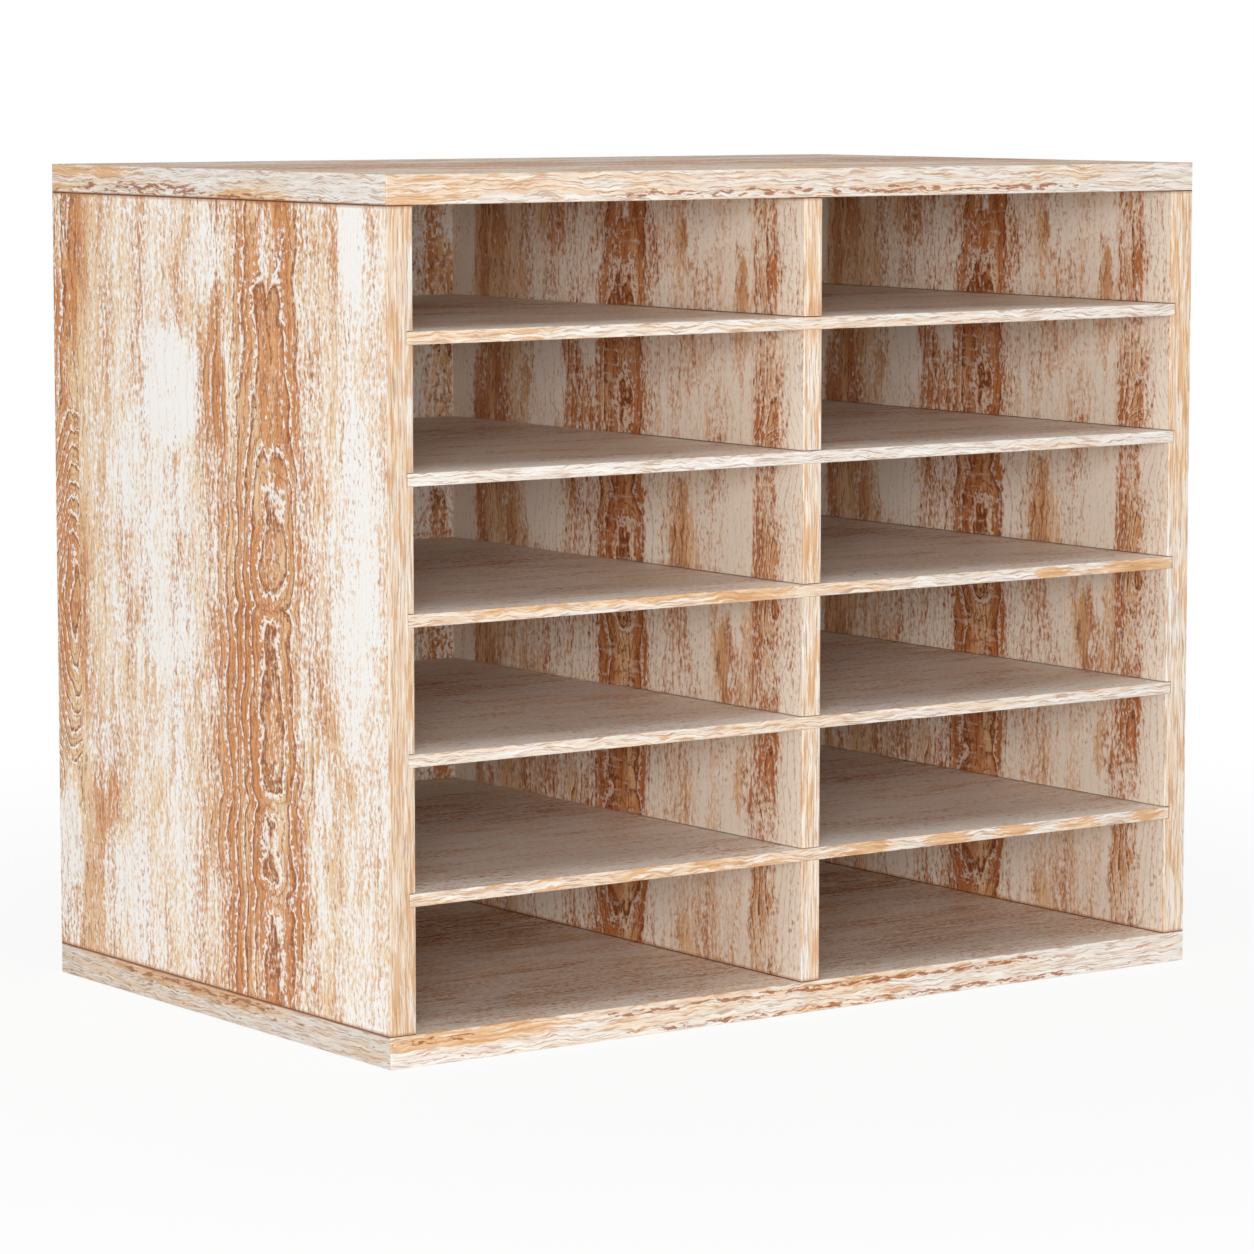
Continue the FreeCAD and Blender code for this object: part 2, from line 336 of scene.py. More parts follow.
def edge_print():
    tree, b, given, out = new_group(
        "edge_print",
        {"Across": 0.0, "Along": 0.0, "Seed": 0.0, "Tan": 0.4, "Stripes": 0.0, "Marks": 0.0, "Dirt": 0.0},
        gives_colours=("Color",),
        gives_numbers=("Height",),
    )
    across, along, seed, stripes = given["Across"], given["Along"], given["Seed"], given["Stripes"]
    sway = b.times(b.noise(across, along, b.add(seed, 0.4), 70.0, 42.0, 3.0, 0.6), 0.0036)
    wavy = b.add(across, b.times(sway, b.less(1.0, b.times(stripes, 0.6))))
    slow = b.times(along, b.less(1.0, b.times(stripes, 0.12)))
    vein = b.noise(wavy, slow, b.add(seed, 1.9), 780.0, 36.0, 3.0, 0.62)
    line = b.noise(wavy, slow, b.add(seed, 9.3), 1150.0, 60.0, 2.0, 0.6)
    broad = b.noise(wavy, slow, b.add(seed, 3.1), 270.0, 13.0, 2.0, 0.5)
    blotch = b.noise(wavy, slow, b.add(seed, 5.7), 210.0, 40.0, 4.0, 0.62)
    speck = b.noise(wavy, along, b.add(seed, 7.2), 560.0, 120.0, 3.0, 0.6)

    extra = b.less(given["Tan"], 0.5)
    base = b.mix(b.fade(b.add(broad, extra), -0.30, 0.32), colour(227, 222, 215), colour(229, 206, 180))
    vein_strength = b.add(0.50, b.times(extra, 0.4))
    veined = b.mix(b.times(b.fade(vein, 0.00, 0.26), vein_strength), base, colour(207, 168, 130))
    pale = b.mix(b.times(b.fade(vein, -0.06, -0.28), 0.65), veined, colour(242, 240, 236))
    lined = b.mix(b.times(b.fade(line, 0.06, 0.22), 0.60), pale, colour(168, 120, 82))
    patch = b.fade(b.add(blotch, b.times(vein, 0.45), b.times(extra, 0.7)), 0.16, 0.34)
    ochre = b.mix(b.fade(vein, -0.2, 0.3), colour(222, 180, 134), colour(200, 146, 96))
    tanned = b.mix(b.times(patch, 0.75), lined, ochre)
    mark = b.fade(b.add(speck, b.times(given["Marks"], 0.55)), 0.38, 0.56)
    marked = b.mix(b.times(mark, 0.85), tanned, colour(152, 82, 26))
    # Painted shade: a grey-brown mixed evenly over the whole tape, darkening it as if less light fell on it
    b.feed(out["Color"], b.mix(given["Dirt"], marked, colour(140, 124, 110)))
    b.feed(out["Height"], vein)
    return tree


# Raw board: the brown fibreboard that shows where nothing covers it


def raw_board():
    tree, b, given, out = new_group(
        "raw_board", {"Across": 0.0, "Along": 0.0, "Through": 0.0}, gives_colours=("Color",)
    )
    across, along, through = given["Across"], given["Along"], given["Through"]
    grit = b.noise(across, along, b.times(through, 240.0), 420.0, 300.0, 2.0, 0.7)
    b.feed(out["Color"], b.mix(b.fade(grit, -0.35, 0.35), colour(196, 160, 120), colour(158, 121, 86)))
    return tree


RINGS = wood_rings()
PRINT = whitewashed_print(RINGS)
PATCH = paint_patch()
EDGE = edge_print()
RAW = raw_board()


# Print plans: where hearts, plank joints, worn bands and paint patches lie on each face

# Places are metres across the grain and along it, from the front, the left end or the foot of the uprights.
# In the two depths they go down from the uprights' top, with how many rings lie over the heart there.

LEFT_OUTSIDE = {
    "seed": 3.0,
    "age": 0.0,
    "clouds": 0.8,
    "joint": 0.041,
    "heart": 0.100,
    "depth": [
        (0.0, 3.69),
        (0.036, 3.20),
        (0.042, 2.86),
        (0.100, 2.38),
        (0.112, 2.31),
        (0.118, 1.91),
        (0.126, 1.35),
        (0.133, 0.89),
        (0.150, 0.62),
        (0.172, 0.05),
        (0.183, 0.77),
        (0.190, 1.48),
        (0.196, 0.83),
        (0.255, 0.37),
        (0.276, 0.71),
        (0.283, 1.45),
        (0.290, 0.83),
        (0.318, 0.71),
        (0.327, 1.45),
        (0.335, 0.83),
        (0.378, 0.54),
    ],
    "side_heart": 0.287,
    "side_depth": [
        (0.0, 9.90),
        (0.105, 9.30),
        (0.113, 8.40),
        (0.175, 1.00),
        (0.205, 0.15),
        (0.226, 1.02),
        (0.250, 2.80),
        (0.270, 5.03),
        (0.285, 7.08),
        (0.360, 8.46),
    ],
    "wear": [
        (0.0, 0.40),
        (0.012, 0.22),
        (0.036, 0.25),
        (0.045, 0.50),
        (0.072, 0.50),
        (0.080, 0.98),
        (0.118, 0.98),
        (0.135, 0.70),
        (0.165, 0.50),
        (0.180, 0.38),
        (0.215, 0.38),
        (0.235, 0.42),
        (0.268, 0.52),
        (0.278, 0.95),
        (0.300, 0.98),
    ],
    "patches": [
        (0.103, 0.360, 0.009, 0.018, 0.75),
        (0.189, 0.284, 0.024, 0.026, 0.85),
        (0.216, 0.240, 0.030, 0.026, 0.50),
        (0.197, 0.178, 0.028, 0.038, 0.35),
        (0.137, 0.278, 0.005, 0.028, 0.6),
        (0.155, 0.354, 0.014, 0.022, 0.35),
        (0.029, 0.362, 0.008, 0.024, 0.5),
        (0.029, 0.210, 0.018, 0.072, 0.5),
        (0.293, 0.042, 0.014, 0.044, 0.95),
        (0.237, 0.034, 0.022, 0.034, 0.4),
        (0.057, 0.082, 0.005, 0.044, 0.5),
        (0.193, 0.082, 0.018, 0.040, 0.25),
        (0.151, 0.302, 0.010, 0.036, -0.4),
        (0.130, 0.120, 0.018, 0.130, -0.35),
        (0.265, 0.038, 0.006, 0.050, -0.35),
        (0.045, 0.102, 0.010, 0.040, -0.25),
    ],
}

# The inside walls' warm, darker tone is painted shade for the walls inside the bays
INSIDE_WALL = {
    "seed": 41.0,
    "age": 0.8,
    "clouds": 1.2,
    "joint": 0.040,
    "heart": 0.147,
    "depth": [
        (0.0, 2.60),
        (0.030, 2.20),
        (0.060, 1.55),
        (0.084, 1.05),
        (0.100, 0.74),
        (0.135, 0.92),
        (0.150, 1.60),
        (0.165, 0.77),
        (0.210, 0.46),
        (0.235, 1.51),
        (0.262, 0.68),
        (0.300, 1.66),
        (0.325, 0.62),
        (0.378, 2.31),
    ],
    "side_heart": 0.022,
    "side_depth": [
        (0.0, 4.46),
        (0.090, 4.23),
        (0.110, 2.92),
        (0.118, 1.23),
        (0.150, 2.46),
        (0.180, 0.77),
        (0.230, 3.08),
        (0.290, 0.92),
        (0.378, 3.85),
    ],
    "wear": [
        (0.0, -0.20),
        (0.015, -0.05),
        (0.021, 0.60),
        (0.040, 0.70),
        (0.042, 0.12),
        (0.056, 0.08),
        (0.070, 0.26),
        (0.082, 0.12),
        (0.094, 0.42),
        (0.106, 0.44),
        (0.114, 0.20),
        (0.128, 0.22),
        (0.132, 1.10),
        (0.163, 1.12),
        (0.172, 0.52),
        (0.180, 0.40),
        (0.190, 0.66),
        (0.202, 0.45),
        (0.224, 0.38),
        (0.236, 0.62),
        (0.262, 0.70),
        (0.268, 1.05),
        (0.279, 0.80),
        (0.282, 0.05),
        (0.300, 0.05),
    ],
    "patches": [
        (0.050, 0.332, 0.007, 0.018, -0.75),
        (0.050, 0.300, 0.008, 0.014, -0.65),
        (0.062, 0.152, 0.008, 0.020, -0.65),
        (0.050, 0.090, 0.006, 0.016, -0.6),
        (0.097, 0.348, 0.004, 0.016, -0.7),
        (0.098, 0.215, 0.006, 0.020, -0.6),
        (0.211, 0.285, 0.010, 0.030, 0.6),
        (0.216, 0.215, 0.016, 0.024, 0.6),
        (0.212, 0.030, 0.014, 0.030, 0.5),
        (0.205, 0.370, 0.020, 0.020, -0.4),
        (0.175, 0.300, 0.006, 0.022, 0.5),
        (0.147, 0.372, 0.005, 0.008, 0.7),
        (0.147, 0.100, 0.018, 0.170, -0.45),
    ],
}


NUMBERS = ("seed", "age", "clouds", "joint", "heart", "side_heart")


def plain_plan(
    seed, joint, heart, side_heart, wear=0.42, worn=0.9, age=0.6, clouds=1.1, band=0.022, patches=()
):
    """A print with one worn band over its heart and the rest evenly washed."""
    return {
        "seed": seed,
        "age": age,
        "clouds": clouds,
        "joint": joint,
        "heart": heart,
        "depth": None,
        "side_heart": side_heart,
        "side_depth": None,
        "wear": [
            (0.0, wear),
            (heart - band * 1.5, wear + 0.08),
            (heart - band, worn),
            (heart + band, worn),
            (heart + band * 1.6, wear + 0.1),
            (heart + band * 3.2, wear - 0.1),
            (PLAN_LENGTH, wear),
        ],
        "patches": list(patches),
    }


def follow(b, plans, upper, across, along):
    """What the whitewashed print takes, from the first plan where upper is 0 and the second where it is 1."""
    chosen = {key: b.choose(upper, *(plan[key] for plan in plans)) for key in NUMBERS}
    ragged = b.noise(across, along, b.add(chosen["seed"], 21.0), 60.0, 26.0, 3.0, 0.65)
    ragged_across = b.add(across, b.times(ragged, 0.014))
    ragged_along = b.add(along, b.times(ragged, 0.030))
    patch = 0.0
    for plan, share in zip(plans, (b.less(1.0, upper), upper)):
        for centre_across, centre_along, half_width, half_length, strength in plan["patches"]:
            oval = b.use(
                PATCH,
                across=ragged_across,
                along=ragged_along,
                centre_across=centre_across,
                centre_along=centre_along,
                half_width=half_width,
                half_length=half_length,
            )
            patch = b.add(b.times(oval["Patch"], strength, share), patch)
    from_top = b.less(BOARDS_TOP - BOARDS_FOOT, along)
    rolling = b.add(1.4, b.times(b.noise(0.0, along, b.add(chosen["seed"], 61.0), 1.0, 9.0, 1.0), 4.6))
    for key in ("depth", "side_depth"):
        depths = [b.stops(from_top, DEPTH_LENGTH, plan[key]) if plan[key] else rolling for plan in plans]
        chosen[key] = b.choose(upper, *depths)
    wandering = b.add(across, b.times(ragged, -0.009))
    chosen["wear"] = b.choose(upper, *(b.stops(wandering, PLAN_LENGTH, plan["wear"]) for plan in plans))
    chosen["patch"] = patch
    return chosen


# Materials


def new_material(name):
    material = bpy.data.materials.new(name)
    material.use_nodes = True
    b = Bench(material.node_tree)
    b.tree.nodes.clear()
    shader = b.put("ShaderNodeBsdfPrincipled")
    b.feed(b.put("ShaderNodeOutputMaterial").inputs["Surface"], shader.outputs["BSDF"])
    return material, b, shader


def object_place(b):
    split = b.put("ShaderNodeSeparateXYZ")
    b.feed(split.inputs[0], b.put("ShaderNodeTexCoord").outputs["Object"])
    return split.outputs


def face_towards(b, axis):
    """How squarely the surface faces along an axis, from 0 to 1, whichever way round."""
    split = b.put("ShaderNodeSeparateXYZ")
    b.feed(split.inputs[0], b.put("ShaderNodeNewGeometry").outputs["True Normal"])
    return b.size(split.outputs["XYZ".index(axis)])


def relief(b, shader, height, depth, strength=0.6):
    bump = b.put("ShaderNodeBump")
    bump.inputs["Distance"].default_value = depth
    bump.inputs["Strength"].default_value = strength
    b.feed(bump.inputs["Height"], height)
    b.feed(shader.inputs["Normal"], bump.outputs["Normal"])


def painted_seam_shade(b, gap, shown):
    """The colour with painted shade where a piece meets its neighbour, gap metres away: a dark brown line and
    a softer brown band round it, for the shadow in the narrow gap.
    """
    half_shaded = b.mix(b.times(b.fade(gap, 0.0022, 0.0006), 0.60), shown, colour(176, 112, 64))
    return b.mix(b.times(b.fade(gap, 0.0008, 0.0002), 0.90), half_shaded, colour(72, 34, 14))


def board_finish(name, node, flat_axis, plans, shaded_seams=()):
    """Printed on both wide faces and raw elsewhere.

    The plans are for the face at the lower end of flat_axis and the face at its upper end. Seam heights are
    where the board meets a neighbour; along each, a brown line of painted shade stands for the shadow in the
    gap.
    """
    material, b, shader = new_material(name)
    place = dict(zip("XYZ", object_place(b)))
    low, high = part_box(node)
    axis = "XYZ".index(flat_axis)
    middle = (low[axis] + high[axis]) / 2
    half = (high[axis] - low[axis]) / 2
    upright = flat_axis != "Z"
    if flat_axis == "Y":
        across = b.less(place["X"], LEFT_END)
    else:
        across = b.less(place["Y"], FRONT)
    along = b.less(place["Z"], BOARDS_FOOT) if upright else b.less(place["X"], LEFT_END)
    from_middle = b.less(place[flat_axis], middle)
    upper = b.maths("GREATER_THAN", from_middle, 0.0)
    printed = b.use(PRINT, across=across, along=along, **follow(b, plans, upper, across, along))
    raw = b.use(RAW, across=across, along=along, through=place[flat_axis])
    facing = b.fade(face_towards(b, flat_axis), 0.45, 0.62)
    on_face = b.times(facing, b.fade(b.size(from_middle), half - RIM_START, half - RIM_END))
    shown = b.mix(on_face, raw["Color"], printed["Color"])
    # Painted shade: a brown line at each seam height, where the board meets a neighbour
    for seam in shaded_seams:
        shown = painted_seam_shade(b, b.size(b.less(place["Z"], seam)), shown)
    b.feed(shader.inputs["Base Color"], shown)
    b.feed(shader.inputs["Roughness"], b.choose(on_face, 0.85, printed["Roughness"]))
    shader.inputs["Specular IOR Level"].default_value = 0.25
    relief(b, shader, printed["Height"], 0.00025)
    return material


def tape_finish(name, node, plan):
    """A tape's print. The plan's places are metres along and across the tape from its lower corner.

    Seam heights are where it meets a neighbour, and shaded edge places lie across it; at both, a brown line
    of painted shade stands for the shadow where the pieces meet.
    """
    material, b, shader = new_material(name)
    place = dict(zip("XYZ", object_place(b)))
    low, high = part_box(node)
    along = b.less(place[plan["along"]], low["XYZ".index(plan["along"])])
    across = b.less(place[plan["across"]], low["XYZ".index(plan["across"])])
    tan = b.stops(along, PLAN_LENGTH, plan["tan"])
    seed = plan["seed"]
    ragged = b.noise(across, along, seed + 21.0, 220.0, 70.0, 3.0, 0.6)
    for centre_along, centre_across, half_length, half_width, strength in plan.get("patches", ()):
        oval = b.use(
            PATCH,
            across=b.add(across, b.times(ragged, 0.0035)),
            along=b.add(along, b.times(ragged, 0.012)),
            centre_across=centre_across,
            centre_along=centre_along,
            half_width=half_width,
            half_length=half_length,
        )
        tan = b.add(b.times(oval["Patch"], strength), tan)
    marks = 0.0
    for row, levels in plan.get("marks", ()):
        beside_row = b.size(b.less(b.add(across, b.times(ragged, 0.002)), row))
        marks = b.add(b.times(b.stops(along, PLAN_LENGTH, levels), b.fade(beside_row, 0.0026, 0.0006)), marks)
    printed = b.use(
        EDGE,
        across=across,
        along=along,
        seed=seed,
        tan=tan,
        stripes=plan.get("stripes", 0.0),
        marks=marks,
        dirt=plan.get("dirt", 0.0),
    )
    shown = printed["Color"]
    # Painted shade: a brown line at each seam height, where the tape meets the top or the base
    for seam in plan.get("shaded_seams", ()):
        shown = painted_seam_shade(b, b.size(b.less(place["Z"], seam)), shown)
    # Painted shade: a brown line along each listed edge place, where the tape's rounded edge meets the
    # upright and lies in shade
    for edge in plan.get("shaded_edges", ()):
        from_edge = b.size(b.less(across, edge))
        shown = b.mix(b.times(b.fade(from_edge, 0.0010, 0.0003), 0.70), shown, colour(156, 88, 42))
    b.feed(shader.inputs["Base Color"], shown)
    shader.inputs["Roughness"].default_value = 0.5
    shader.inputs["Specular IOR Level"].default_value = 0.35
    relief(b, shader, printed["Height"], 0.00015)
    return material


def put_on(material, *names):
    for name in names:
        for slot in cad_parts[name].material_slots:
            slot.material = material


WALL_FAR_SIDE = plain_plan(52.0, 0.070, 0.205, 0.020)
RIGHT_OUTSIDE = plain_plan(
    63.0, 0.055, 0.180, 0.300, age=0.0, clouds=0.9, patches=[(0.10, 0.24, 0.022, 0.050, 0.4)]
)
BACK_INSIDE = plain_plan(
    74.0, 0.030, 0.2265, 0.330, wear=0.20, worn=0.8, age=0.35, clouds=0.7, band=0.005
)
BACK_OUTSIDE = plain_plan(75.0, 0.030, 0.040, 0.330, wear=0.25)
TOP_INSIDE = plain_plan(81.0, 0.02, 0.15, 0.31)
TOP_OUTSIDE = plain_plan(82.0, 0.02, 0.15, 0.31, wear=0.56, worn=1.0, age=0.15, clouds=1.5, band=0.035)
BASE_UNDERSIDE = plain_plan(91.0, 0.02, 0.15, 0.31)
BASE_INSIDE = plain_plan(92.0, 0.10, 0.22, 0.05, wear=0.25, worn=0.6, age=0.3, clouds=0.7)

# Each board's material, the axis it is flat across, its lower and upper faces' prints and the heights of its
# joints, where a brown line of painted shade is drawn

UPRIGHT_ENDS = (BOARDS_TOP, BOARDS_FOOT)
BOARDS = {
    "left_side_panel": ("left_side_board", "X", (LEFT_OUTSIDE, WALL_FAR_SIDE), UPRIGHT_ENDS),
    "right_side_panel": ("right_side_board", "X", (INSIDE_WALL, RIGHT_OUTSIDE), UPRIGHT_ENDS),
    "center_divider": ("divider_board", "X", (INSIDE_WALL, WALL_FAR_SIDE), UPRIGHT_ENDS),
    "back_panel": ("back_board", "Y", (BACK_INSIDE, BACK_OUTSIDE), ()),
    "top_panel": ("top_board", "Z", (TOP_INSIDE, TOP_OUTSIDE), ()),
    "base_panel": ("base_board", "Z", (BASE_UNDERSIDE, BASE_INSIDE), ()),
}
# Shelf undersides take the warmest, darkest tone, as painted shade
for number in range(1, 6):
    underside = plain_plan(100.0 + number, 0.04, 0.17, 0.30, wear=0.45, worn=0.8, age=1.0)
    upper_side = plain_plan(110.0 + number, 0.06, 0.19, 0.02, wear=0.02, worn=0.3, age=0.30, clouds=0.9)
    BOARDS[f"shelf_{number}"] = (f"shelf_{number}_board", "Z", (underside, upper_side), ())


def boards():
    for node, (name, flat_axis, plans, shaded_seams) in BOARDS.items():
        put_on(board_finish(name, node, flat_axis, plans, shaded_seams), node)


# In the tapes' plans, the painted shade number darkens a whole tape's print with grey-brown, standing in for
# less light
TAPES = {
    "top_front": {
        "along": "X",
        "across": "Z",
        "seed": 201.0,
        "tan": [(0.0, 0.56), (0.10, 0.48), (0.24, 0.46), (0.40, 0.42), (0.48, 0.34)],
        "dirt": 0.06,
        "patches": [(0.012, 0.002, 0.014, 0.003, 0.7), (0.050, 0.009, 0.050, 0.003, 0.2)],
        "marks": [(0.0032, [(0.0, 0.1), (0.11, 0.1), (0.13, 0.8), (0.39, 0.9), (0.41, 0.1), (0.48, 0.3)])],
    },
    "base_front": {
        "along": "X",
        "across": "Z",
        "seed": 202.0,
        "tan": [
            (0.0, 0.24), (0.11, 0.26), (0.13, 0.50), (0.24, 0.50), (0.38, 0.40), (0.40, 0.28), (0.48, 0.22),
        ],
        "patches": [(0.045, 0.0115, 0.060, 0.0042, 0.85), (0.30, 0.0115, 0.070, 0.0022, 0.35)],
        "marks": [
            (
                0.0115,
                [(0.0, 0.7), (0.045, 0.7), (0.06, 0.0), (0.11, 0.2), (0.13, 0.8), (0.38, 0.9), (0.40, 0.0)],
            ),
            (0.0020, [(0.0, 0.3), (0.14, 0.3), (0.16, 0.8), (0.40, 0.8), (0.42, 0.4), (0.48, 0.4)]),
        ],
    },
    "top_left": {
        "along": "Y",
        "across": "Z",
        "seed": 203.0,
        "shaded_edges": (0.0,),
        "tan": [(0.0, 0.14), (0.15, 0.22), (0.22, 0.36), (0.25, 0.55), (0.30, 0.60)],
        "patches": [(0.118, 0.0015, 0.036, 0.0036, 0.85), (0.262, 0.011, 0.040, 0.003, 0.4)],
        "marks": [
            (
                0.0045,
                [(0.0, 0.0), (0.15, 0.1), (0.17, 0.9), (0.24, 0.9), (0.255, 0.1), (0.265, 1.0), (0.28, 0.0)],
            ),
            (0.0015, [(0.0, 0.3), (0.15, 0.8), (0.30, 0.4)]),
        ],
    },
    "base_left": {
        "along": "Y",
        "across": "Z",
        "seed": 204.0,
        "shaded_edges": (BASE_THICKNESS,),
        "tan": [(0.0, 0.36), (0.10, 0.38), (0.24, 0.48), (0.30, 0.42)],
        "dirt": 0.16,
        "patches": [(0.170, 0.0130, 0.070, 0.0040, 0.75)],
        "marks": [
            (0.0120, [(0.0, 0.1), (0.09, 0.2), (0.11, 0.9), (0.23, 0.9), (0.25, 0.3), (0.30, 0.4)]),
            (0.0080, [(0.0, 0.3), (0.12, 0.5), (0.22, 0.6), (0.25, 0.3)]),
            (0.0030, [(0.0, 0.4), (0.05, 0.2), (0.20, 0.4), (0.30, 0.3)]),
        ],
    },
    "top_right": {
        "along": "Y",
        "across": "Z",
        "seed": 205.0,
        "shaded_edges": (0.0,),
        "tan": [(0.0, 0.30), (0.15, 0.45), (0.30, 0.35)],
        "marks": [(0.0040, [(0.0, 0.2), (0.10, 0.8), (0.20, 0.3), (0.30, 0.8)])],
    },
    "base_right": {
        "along": "Y",
        "across": "Z",
        "seed": 206.0,
        "shaded_edges": (BASE_THICKNESS,),
        "tan": [(0.0, 0.40), (0.15, 0.30), (0.30, 0.45)],
        "marks": [(0.0105, [(0.0, 0.6), (0.10, 0.2), (0.20, 0.8), (0.30, 0.3)])],
    },
    "left_side_front": {
        "along": "Z",
        "across": "X",
        "shaded_seams": (BOARDS_FOOT, BOARDS_TOP),
        "seed": 207.0,
        "tan": [(0.0, 0.78), (0.10, 0.74), (0.20, 0.68), (0.30, 0.70), (0.40, 0.70)],
        "dirt": 0.12,
        "stripes": 1.0,
    },
    "right_side_front": {
        "along": "Z",
        "across": "X",
        "shaded_seams": (BOARDS_FOOT, BOARDS_TOP),
        "seed": 208.0,
        "tan": [(0.0, 0.60), (0.22, 0.60), (0.28, 0.85), (0.34, 0.85), (0.40, 0.60)],
        "stripes": 1.0,
    },
    "divider_front": {
        "along": "Z",
        "across": "X",
        "shaded_seams": (BOARDS_FOOT, BOARDS_TOP),
        "seed": 209.0,
        "tan": [(0.0, 0.62), (0.20, 0.70), (0.30, 0.64), (0.34, 0.75), (0.40, 0.68)],
        "stripes": 1.0,
    },
    "shelf_5": {
        "along": "X",
        "across": "Z",
        "seed": 211.0,
        "tan": [(0.0, 0.62), (0.07, 0.60), (0.10, 0.46), (0.22, 0.44), (0.29, 0.30), (0.48, 0.22)],
    },
    "shelf_4": {
        "along": "X",
        "across": "Z",
        "seed": 212.0,
        "tan": [(0.0, 0.20), (0.20, 0.12), (0.34, 0.12), (0.37, 0.36), (0.41, 0.14), (0.48, 0.10)],
    },
    "shelf_3": {
        "along": "X",
        "across": "Z",
        "seed": 213.0,
        "tan": [(0.0, 0.66), (0.16, 0.60), (0.22, 0.66), (0.27, 0.46), (0.35, 0.30), (0.48, 0.40)],
        "patches": [
            (0.200, 0.0030, 0.026, 0.0040, 0.5),
            (0.381, 0.0026, 0.010, 0.0030, 0.9),
            (0.440, 0.0030, 0.028, 0.0030, 0.8),
            (0.120, 0.0050, 0.060, 0.0020, 0.4),
        ],
    },
    "shelf_2": {
        "along": "X",
        "across": "Z",
        "seed": 214.0,
        "tan": [
            (0.0, 0.34), (0.09, 0.36), (0.12, 0.55), (0.22, 0.56), (0.26, 0.44), (0.34, 0.38), (0.48, 0.40),
        ],
    },
    "shelf_1": {
        "along": "X",
        "across": "Z",
        "seed": 215.0,
        "tan": [
            (0.0, 0.60), (0.10, 0.62), (0.12, 0.80), (0.22, 0.78), (0.24, 0.45), (0.34, 0.30), (0.48, 0.34),
        ],
        "patches": [
            (0.262, 0.0028, 0.018, 0.0036, 0.6),
            (0.318, 0.0030, 0.014, 0.0040, 0.8),
            (0.358, 0.0028, 0.012, 0.0036, 0.7),
            (0.402, 0.0030, 0.014, 0.0036, 0.8),
            (0.446, 0.0028, 0.016, 0.0032, 0.6),
        ],
    },
}


def tapes():
    for name, plan in TAPES.items():
        node = f"{name}_tape"
        put_on(tape_finish(node, node, plan), node)


def beech_finish():
    material, b, shader = new_material("beech_dowel")
    x, y, z = object_place(b)
    grain = b.noise(x, y, b.times(z, 30.0), 900.0, 900.0, 3.0)
    beech = b.mix(b.fade(grain, -0.3, 0.3), colour(214, 182, 142), colour(188, 148, 106))
    b.feed(shader.inputs["Base Color"], beech)
    shader.inputs["Roughness"].default_value = 0.65
    return material


def zinc_finish():
    material, b, shader = new_material("zinc_plated_steel")
    x, y, z = object_place(b)
    cloud = b.noise(x, y, b.times(z, 300.0), 500.0, 500.0, 3.0)
    zinc = b.mix(b.fade(cloud, -0.3, 0.3), colour(196, 198, 200), colour(168, 170, 172))
    b.feed(shader.inputs["Base Color"], zinc)
    b.feed(shader.inputs["Roughness"], b.add(0.34, b.times(cloud, 0.2)))
    shader.inputs["Metallic"].default_value = 1.0
    return material


boards()
tapes()
put_on(beech_finish(), "top_dowels", "base_dowels")
put_on(zinc_finish(), "base_screws", "back_pins")


# Floor, backdrop, lamps and camera

FLOOR_SIZE = 12.0
FLOOR_GAP = 0.0002
WHITE_NEAR = 0.90
WORLD_STRENGTH = 0.12
SORTER_MIDDLE = Vector((0.0, 0.0, 0.2))

# Each lamp's place and width in metres, and its watts

LAMPS = {
    "front_lamp": ((-2.76, -3.80, 0.62), 2.2, 192),
    "left_lamp": ((-3.1, -0.3, 1.1), 2.0, 19),
    "right_lamp": ((1.2, -3.2, 0.5), 1.5, 12),
    "high_lamp": ((-0.5, -0.9, 2.6), 1.6, 20),
    "rear_lamp": ((0.9, 3.2, 0.20), 0.4, 26),
    "far_side_lamp": ((3.2, 0.9, 0.20), 0.4, 26),
}

# The photo's viewpoint: its place in metres, how far it tilts and turns, and its lens in millimetres

CAMERA_PLACE = (-1.4433, -2.0077, 0.4532)
CAMERA_TILT = math.radians(83.543)
CAMERA_TURN = math.radians(-35.721)
CAMERA_LENS = 141.59


def seen_directly(b):
    """1 for rays from the camera and for what metal and glass show, 0 for those that light the sorter."""
    path = b.put("ShaderNodeLightPath").outputs
    straight = b.maths("MAXIMUM", path["Is Camera Ray"], path["Is Transmission Ray"])
    return b.maths("MAXIMUM", straight, path["Is Glossy Ray"])


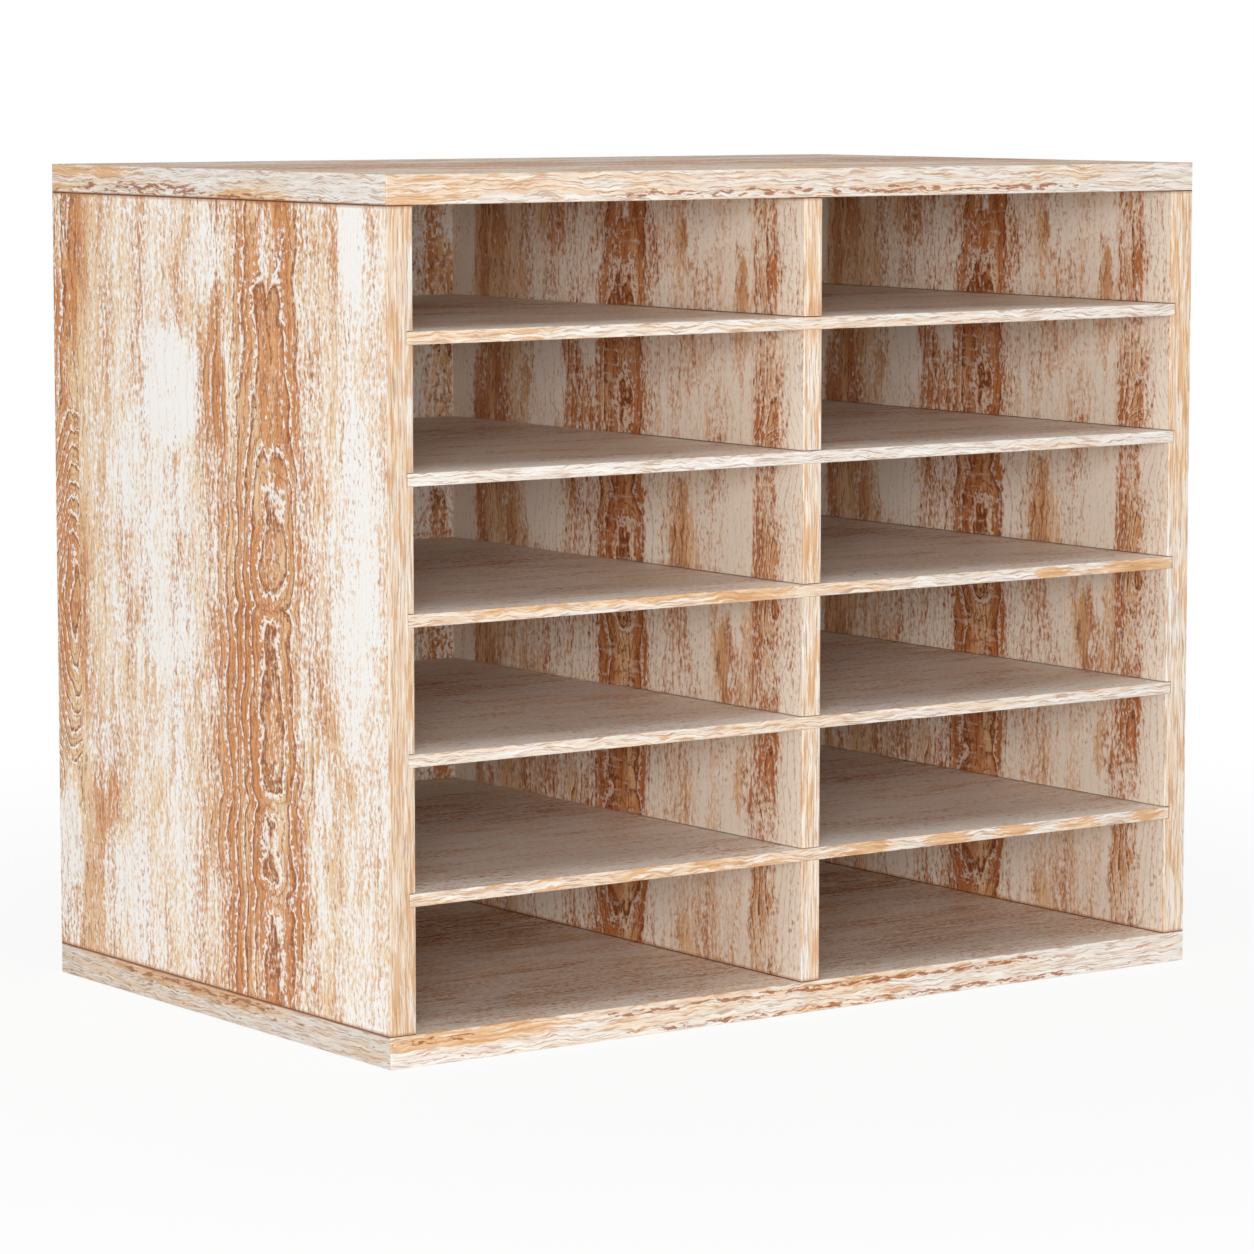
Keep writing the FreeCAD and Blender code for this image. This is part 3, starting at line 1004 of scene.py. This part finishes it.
def pale_floor():
    """A floor a hair below the base. It is nearly white when seen and shows the sorter's soft shadow."""
    bpy.ops.mesh.primitive_plane_add(size=FLOOR_SIZE, location=(0.0, 0.0, -FLOOR_GAP))
    floor = bpy.context.object
    floor.name = "floor"
    material, b, shader = new_material("pale_floor")
    shader.inputs["Base Color"].default_value = colour(244, 243, 241)
    shader.inputs["Roughness"].default_value = 0.9
    white = b.put("ShaderNodeEmission")
    blend = b.put("ShaderNodeMixShader")
    away = b.put("ShaderNodeVectorMath", operation="LENGTH")
    b.feed(away.inputs[0], b.put("ShaderNodeTexCoord").outputs["Object"])
    far_away = b.fade(away.outputs["Value"], 0.30, 0.95)
    whiteness = b.add(WHITE_NEAR, b.times(far_away, 1.0 - WHITE_NEAR))
    b.feed(blend.inputs[0], b.times(seen_directly(b), whiteness))
    b.feed(blend.inputs[1], shader.outputs["BSDF"])
    b.feed(blend.inputs[2], white.outputs["Emission"])
    end = next(n for n in b.tree.nodes if n.type == "OUTPUT_MATERIAL")
    b.feed(end.inputs["Surface"], blend.outputs[0])
    floor.data.materials.append(material)


def studio_world():
    world = bpy.data.worlds.new("studio")
    bpy.context.scene.world = world
    world.use_nodes = True
    b = Bench(world.node_tree)
    b.tree.nodes.clear()
    soft = b.put("ShaderNodeBackground")
    soft.inputs["Color"].default_value = (1.0, 0.99, 0.98, 1.0)
    soft.inputs["Strength"].default_value = WORLD_STRENGTH
    white = b.put("ShaderNodeBackground")
    white.inputs["Color"].default_value = (1.0, 1.0, 1.0, 1.0)
    blend = b.put("ShaderNodeMixShader")
    b.feed(blend.inputs[0], seen_directly(b))
    b.feed(blend.inputs[1], soft.outputs[0])
    b.feed(blend.inputs[2], white.outputs[0])
    b.feed(b.put("ShaderNodeOutputWorld").inputs["Surface"], blend.outputs[0])


def soft_lamp(name, place, size, watts):
    """A round soft lamp that points at the middle of the sorter."""
    lamp = bpy.data.lights.new(name, "AREA")
    lamp.shape = "DISK"
    lamp.size = size
    lamp.energy = watts
    holder = bpy.data.objects.new(name, lamp)
    bpy.context.scene.collection.objects.link(holder)
    holder.location = place
    aim = SORTER_MIDDLE - holder.location
    holder.rotation_euler = aim.to_track_quat("-Z", "Y").to_euler()
    holder.visible_camera = False


def photo_camera():
    eye = bpy.data.cameras.new("photo_camera")
    eye.sensor_width = 36.0
    eye.lens = CAMERA_LENS
    eye.clip_start = 0.1
    eye.clip_end = 50.0
    camera = bpy.data.objects.new("photo_camera", eye)
    bpy.context.scene.collection.objects.link(camera)
    camera.location = CAMERA_PLACE
    camera.rotation_euler = (CAMERA_TILT, 0.0, CAMERA_TURN)
    bpy.context.scene.camera = camera


pale_floor()
studio_world()
for name, (place, width, watts) in LAMPS.items():
    soft_lamp(name, place, width, watts)
photo_camera()
bpy.context.scene.view_settings.view_transform = "Standard"
